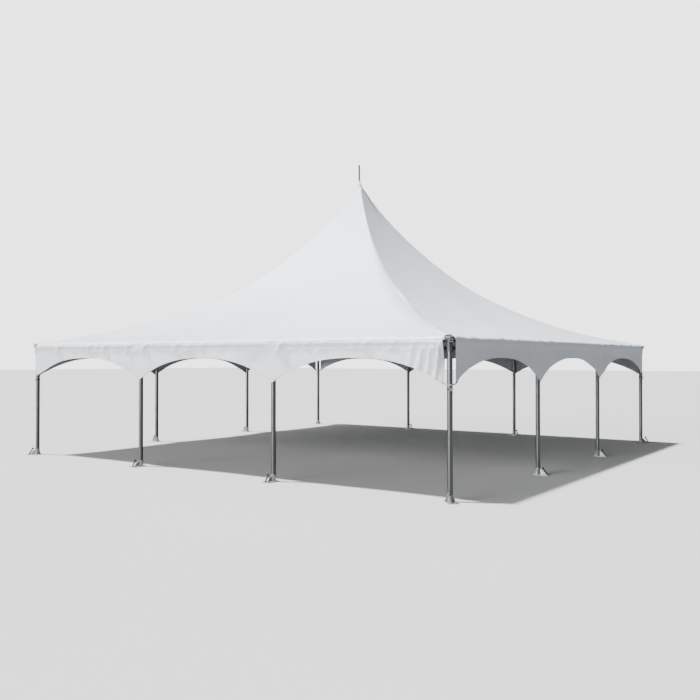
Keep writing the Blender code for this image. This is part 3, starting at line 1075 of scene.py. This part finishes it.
def build_ratchets(bright, webbing):
    """Ratchet buckle at each corner that draws the roof down over the fitting."""
    metal = bmesh.new()
    cloth = bmesh.new()
    for turn in range(4):
        spin = quarter(turn)
        corner = spin @ Vector((HALF, -HALF, AXIS_Z))
        out = (spin @ Vector((1, -1, 0))).normalized()
        across = out.cross(Vector((0, 0, 1)))
        face = corner + out * (SLEEVE_R + 0.014)
        where = aim(face + Vector((0, 0, RATCHET_DROP)), out)
        for side in (-1, 1):
            cheek = Matrix.Translation(across * (side * 0.022))
            add_block(metal, (0.003, 0.070, 0.026), cheek @ where, 0.001)
        for height in (-0.030, 0.0, 0.028):
            spool = aim(face + Vector((0, 0, RATCHET_DROP + height)) - across * 0.026, across)
            add_lathe(metal, ((0, 0), (0.006, 0), (0.006, 0.052), (0, 0.052)), spool, 10)
        for side in (-1, 1):
            gear = aim(face + Vector((0, 0, RATCHET_DROP)) + across * (side * 0.026), across)
            add_lathe(metal, ((0, -0.0015), (0.015, -0.0015), (0.015, 0.0015), (0, 0.0015)), gear, 12)
        handle = [face + Vector((0, 0, RATCHET_DROP + 0.026)) + out * (0.010 + 0.030 * t)
                  + Vector((0, 0, 0.020 * math.sin(math.pi * t))) for t in (i / 6 for i in range(7))]
        strap(metal, handle, 0.040, across, 0.003)
        for side in (-1, 1):
            line = [face + Vector((0, 0, RATCHET_DROP - 0.033)) + across * (side * 0.018),
                    face + Vector((0, 0, RATCHET_DROP - 0.063)) + across * (side * 0.016) - out * 0.004,
                    corner + out * (SLEEVE_R + 0.003) + Vector((0, 0, -0.125)) + across * (side * 0.006),
                    corner + out * (SLEEVE_R + 0.003) + Vector((0, 0, -0.155))]
            strap(cloth, line, 0.014, across)
    make_piece("corner_ratchets", metal, [bright])
    make_piece("ratchet_webbing", cloth, [webbing])


def cable_line(turn):
    """The two ends of one cable's axis, read from its node's box."""
    low, high = (Vector(corner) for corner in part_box("cross_cable_" + CORNERS[turn]))
    inset = CABLE_R * math.sqrt(0.5)
    side = quarter(turn) @ Vector((-1, -1, 0))
    outer = [high[i] - inset if side[i] > 0 else low[i] + inset for i in (0, 1)]
    inner = [low[i] + inset if side[i] > 0 else high[i] - inset for i in (0, 1)]
    return Vector((*outer, high.z - CABLE_R)), Vector((*inner, low.z + CABLE_R))


def build_rigging(bright):
    """Shackles, ferrules and a turnbuckle on every cable."""
    shape = bmesh.new()
    for turn in range(4):
        outer, inner = cable_line(turn)
        way = (inner - outer).normalized()
        across = way.cross(Vector((0, 0, 1))).normalized()
        for end, inside in ((outer, way), (inner, -way)):
            line = []
            for i in range(17):
                angle = math.pi * i / 16 - math.pi / 2
                line.append(end + inside * (0.006 + 0.026 * math.cos(angle))
                            + across * (0.018 * math.sin(angle)))
            line = ([end - inside * 0.030 - across * 0.018] + line
                    + [end - inside * 0.030 + across * 0.018])
            add_tube(shape, line, 0.004, 8)
            bolt = aim(end - inside * 0.026 - across * 0.028, across)
            add_lathe(shape, ((0, 0), (0.008, 0), (0.008, 0.006), (0.0045, 0.006),
                              (0.0045, 0.018), (0, 0.018)), bolt, 8)
            nut = aim(end - inside * 0.026 + across * 0.010, across)
            add_lathe(shape, ((0, 0.0), (0.0045, 0.0), (0.0045, 0.010), (0.008, 0.010),
                              (0.008, 0.016), (0, 0.016)), nut, 8)
            for place in (0.05, 0.085):
                clip = aim(end + inside * place, inside)
                add_lathe(shape, ((0.0062, 0), (0.011, 0.001), (0.011, 0.017), (0.0062, 0.018),
                                  (0.0062, 0)), clip, 12)
        body = outer + way * 0.16
        for side in (-1, 1):
            bar = [body + across * (side * 0.016), body + way * 0.20 + across * (side * 0.016)]
            add_tube(shape, bar, 0.0045, 8)
        for place in (0.0, 0.20):
            boss = aim(body + way * (place - 0.012), way)
            add_lathe(shape, ((0.0062, 0), (0.021, 0.0), (0.021, 0.024), (0.0062, 0.024),
                              (0.0062, 0)), boss, 12)
    make_piece("cable_fittings", shape, [bright])


# Stage

def look_from(location, yaw, pitch):
    """A frame of reference for a camera that looks along a compass angle from +Y."""
    way = Vector((-math.sin(yaw) * math.cos(pitch), math.cos(yaw) * math.cos(pitch),
                  math.sin(pitch)))
    return Matrix.Translation(location) @ way.to_track_quat("-Z", "Y").to_matrix().to_4x4()


def build_stage(stage):
    floor_shape = bmesh.new()
    bmesh.ops.create_grid(floor_shape, x_segments=1, y_segments=1, size=stage.floor)
    mesh = bpy.data.meshes.new("floor")
    floor_shape.to_mesh(mesh)
    floor_shape.free()
    floor = bpy.data.objects.new("floor", mesh)
    bpy.context.scene.collection.objects.link(floor)
    finish = Finish("pale_floor", 0.9)
    tone = finish.mix(finish.grain(0.35, 3.0), (0.54, 0.545, 0.53), (0.58, 0.58, 0.57))
    bounced = tuple([stage.bounce] * 3)
    seen = finish.node("ShaderNodeLightPath")
    mesh.materials.append(finish.set(base_color=finish.mix(seen, bounced, tone)))

    for name, strength, angle, way in (("high_sun", stage.sun, stage.softness, (-0.32, -0.15, 0.935)),
                                       ("side_lamp", stage.side, 34.0, (-0.25, -0.945, 0.21))):
        light = bpy.data.lights.new(name, "SUN")
        light.energy = strength
        light.angle = math.radians(angle)
        lamp = bpy.data.objects.new(name, light)
        lamp.matrix_world = aim((0, 0, 12), way)
        bpy.context.scene.collection.objects.link(lamp)

    world = bpy.data.worlds.new("soft_sky")
    world.use_nodes = True
    nodes, links = world.node_tree.nodes, world.node_tree.links
    fill = nodes["Background"]
    fill.inputs["Color"].default_value = (0.90, 0.95, 1.0, 1.0)
    fill.inputs["Strength"].default_value = stage.sky
    backdrop = nodes.new("ShaderNodeBackground")
    backdrop.inputs["Color"].default_value = (1.0, 1.0, 1.0, 1.0)
    backdrop.inputs["Strength"].default_value = stage.backdrop
    seen = nodes.new("ShaderNodeLightPath")
    choice = nodes.new("ShaderNodeMixShader")
    links.new(seen.outputs["Is Camera Ray"], choice.inputs[0])
    links.new(fill.outputs[0], choice.inputs[1])
    links.new(backdrop.outputs[0], choice.inputs[2])
    links.new(choice.outputs[0], nodes["World Output"].inputs["Surface"])
    bpy.context.scene.world = world

    data = bpy.data.cameras.new("photo_view")
    data.sensor_width = 36.0
    data.lens = stage.lens
    data.clip_end = 500.0
    camera = bpy.data.objects.new("photo_view", data)
    camera.matrix_world = look_from(Vector(stage.camera), stage.yaw, stage.pitch)
    bpy.context.scene.collection.objects.link(camera)
    bpy.context.scene.camera = camera


# Settings that a user would change

class MarqueeLook(bpy.types.PropertyGroup):
    """Colours and small sizes of the tent"""
    cloth: bpy.props.FloatVectorProperty(
        name="Cloth", description="Colour of the coated cloth", subtype="COLOR",
        default=(0.84, 0.88, 0.93), min=0.0, max=1.0)
    # Grey of the cloth's underside, which paints the shade inside the tent
    underside_shade: bpy.props.FloatVectorProperty(
        name="Underside shade", description="Colour of the cloth's underside", subtype="COLOR",
        default=(0.46, 0.47, 0.49), min=0.0, max=1.0)
    tube: bpy.props.FloatVectorProperty(
        name="Tube", description="Colour of the galvanised tubes", subtype="COLOR",
        default=(0.155, 0.158, 0.164), min=0.0, max=1.0)
    dust: bpy.props.FloatProperty(
        name="Dust", description="Amount of dust on the cloth near the eave", default=0.22,
        min=0.0, max=1.0)
    binding: bpy.props.FloatProperty(
        name="Binding", description="Thickness of the bound edge of the valances",
        default=0.007, unit="LENGTH")
    stake: bpy.props.FloatProperty(
        name="Stake", description="Diameter of the ground stakes", default=0.025, unit="LENGTH")


class MarqueeStage(bpy.types.PropertyGroup):
    """Floor, light and camera"""
    floor: bpy.props.FloatProperty(
        name="Floor", description="Half the width of the floor", default=120.0, unit="LENGTH")
    sun: bpy.props.FloatProperty(name="Sun", description="Strength of the high light", default=10.0)
    bounce: bpy.props.FloatProperty(
        name="Bounce", description="How much light the floor throws back on the tent",
        default=0.17, min=0.0, max=1.0)
    side: bpy.props.FloatProperty(
        name="Side", description="Strength of the low light on the front", default=4.8)
    softness: bpy.props.FloatProperty(
        name="Softness", description="Angle of the high light in degrees", default=4.0)
    sky: bpy.props.FloatProperty(name="Sky", description="Strength of the soft fill", default=0.25)
    backdrop: bpy.props.FloatProperty(
        name="Backdrop", description="Brightness of the backdrop", default=3.2)
    lens: bpy.props.FloatProperty(
        name="Lens", description="Focal length of the camera in millimetres", default=41.07)
    camera: bpy.props.FloatVectorProperty(
        name="Camera", description="Place of the camera", default=(9.545, -13.974, 1.878),
        unit="LENGTH")
    yaw: bpy.props.FloatProperty(
        name="Yaw", description="How far the camera turns left from the tent's back side",
        default=math.radians(35.0), unit="ROTATION")
    pitch: bpy.props.FloatProperty(
        name="Pitch", description="How far the camera tilts up", default=math.radians(0.67),
        unit="ROTATION")


def cloths(scene):
    look = scene.marquee_look
    return [cloth_finish(look), underside_shade_finish(look)]


class MARQUEE_OT_frame(bpy.types.Operator):
    """Stand the legs, eave tubes, fittings, mast and cables"""
    bl_idname = "marquee.frame"
    bl_label = "Frame"

    def execute(self, context):
        look = context.scene.marquee_look
        tube, cast = tube_finish(look), cast_finish(look)
        build_legs(tube, zinc_finish())
        build_rails(tube)
        build_fittings(cast)
        build_mast(tube, cast, spike_finish())
        build_cables(rope_finish())
        return {"FINISHED"}


class MARQUEE_OT_canopy(bpy.types.Operator):
    """Hang the roof cloth with its hip seams"""
    bl_idname = "marquee.canopy"
    bl_label = "Canopy"

    def execute(self, context):
        look = context.scene.marquee_look
        finishes = cloths(context.scene)
        build_canopy(look, finishes)
        build_hip_seams(finishes[0], webbing_finish("hip_webbing", (0.55, 0.56, 0.58)))
        return {"FINISHED"}


class MARQUEE_OT_valances(bpy.types.Operator):
    """Hang the scalloped valances and bind their edges"""
    bl_idname = "marquee.valances"
    bl_label = "Valances"

    def execute(self, context):
        look = context.scene.marquee_look
        build_valances(look, cloths(context.scene))
        build_edging(look, edging_finish(look))
        return {"FINISHED"}


class MARQUEE_OT_peak(bpy.types.Operator):
    """Fit the rain collar, its clamp and the spike's cap"""
    bl_idname = "marquee.peak"
    bl_label = "Peak"

    def execute(self, context):
        look = context.scene.marquee_look
        build_collar(cloth_finish(look), bright_finish())
        build_spike_cap(spike_finish())
        return {"FINISHED"}


class MARQUEE_OT_feet(bpy.types.Operator):
    """Fit the stakes, bolts and weld beads of the base plates"""
    bl_idname = "marquee.feet"
    bl_label = "Feet"

    def execute(self, context):
        build_stakes(context.scene.marquee_look, stake_finish())
        build_plate_hardware(bright_finish(), stake_finish())
        return {"FINISHED"}


class MARQUEE_OT_fixings(bpy.types.Operator):
    """Fit the sleeve pins, the painted shade of the leg holes, straps, ratchets and cable fittings"""
    bl_idname = "marquee.fixings"
    bl_label = "Fixings"

    def execute(self, context):
        bright = bright_finish()
        grey = webbing_finish("grey_webbing", (0.40, 0.41, 0.43))
        black = webbing_finish("dark_webbing", (0.05, 0.05, 0.055))
        build_pins(bright)
        # the dark stake finish paints the shade inside the leg holes
        build_leg_hole_shades(stake_finish())
        build_tip_straps(black, bright)
        build_corner_slings(grey)
        build_ratchets(bright, black)
        build_rigging(bright)
        return {"FINISHED"}


class MARQUEE_OT_stage(bpy.types.Operator):
    """Lay the floor and set the light and the camera"""
    bl_idname = "marquee.stage"
    bl_label = "Stage"

    def execute(self, context):
        build_stage(context.scene.marquee_stage)
        return {"FINISHED"}


class MARQUEE_PT_panel(bpy.types.Panel):
    """Sidebar panel that lists the tent's parts"""
    bl_idname = "MARQUEE_PT_panel"
    bl_label = "Marquee"
    bl_space_type = "VIEW_3D"
    bl_region_type = "UI"
    bl_category = "Marquee"

    def draw(self, context):
        column = self.layout.column()
        for operator in OPERATORS:
            column.operator(operator.bl_idname)
        for group in (context.scene.marquee_look, context.scene.marquee_stage):
            for name in group.__annotations__:
                column.prop(group, name)


OPERATORS = (MARQUEE_OT_stage, MARQUEE_OT_frame, MARQUEE_OT_canopy, MARQUEE_OT_valances,
             MARQUEE_OT_peak, MARQUEE_OT_feet, MARQUEE_OT_fixings)
CLASSES = (MarqueeLook, MarqueeStage, *OPERATORS, MARQUEE_PT_panel)


def register():
    for item in CLASSES:
        bpy.utils.register_class(item)
    bpy.types.Scene.marquee_look = bpy.props.PointerProperty(type=MarqueeLook)
    bpy.types.Scene.marquee_stage = bpy.props.PointerProperty(type=MarqueeStage)


def unregister():
    del bpy.types.Scene.marquee_stage
    del bpy.types.Scene.marquee_look
    for item in reversed(CLASSES):
        bpy.utils.unregister_class(item)


def main():
    register()
    bpy.ops.marquee.stage()
    bpy.ops.marquee.frame()
    bpy.ops.marquee.canopy()
    bpy.ops.marquee.valances()
    bpy.ops.marquee.peak()
    bpy.ops.marquee.feet()
    bpy.ops.marquee.fixings()


if __name__ == "__main__":
    main()
